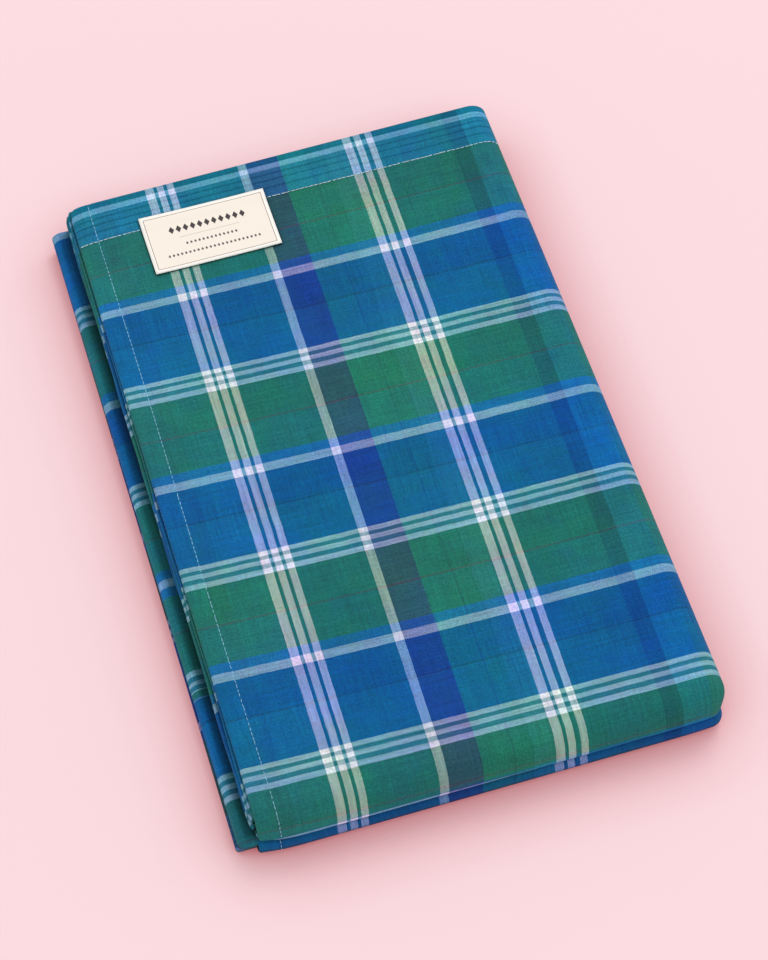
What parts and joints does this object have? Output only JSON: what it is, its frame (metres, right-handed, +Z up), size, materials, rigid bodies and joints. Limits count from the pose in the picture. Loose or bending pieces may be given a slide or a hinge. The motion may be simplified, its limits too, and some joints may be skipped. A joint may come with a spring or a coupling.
{
  "type": "folded longyi sarong",
  "caption": "Cotton longyi sarong folded flat into a rectangular pack, a checked cloth tube with rolled folds, two hems and a sewn label",
  "frame": {"origin": "under the middle of the bounding box, on the surface the pack lies on", "axes": "+Z up, +Y along the length from the near folds to the hemmed end, +X across the width from the open edges to the side fold"},
  "size_m": [0.212, 0.3263, 0.0289],
  "materials": {
    "checked_cotton": "plain-woven cotton with blue, teal, green and white yarn-dyed checks, matt with a faint sheen",
    "woven_label": "matt cream coated tape with a thin printed frame and plain ornament"
  },
  "bodies": {
    "root": {"top_length": "checked_cotton", "bottom_length": "checked_cotton", "left_fold": "checked_cotton", "lowest_left_fold": "checked_cotton", "far_fold": "checked_cotton", "folded_layers": "checked_cotton", "side_hem": "checked_cotton", "end_hem": "checked_cotton", "label": "woven_label"}
  },
  "joints": []
}
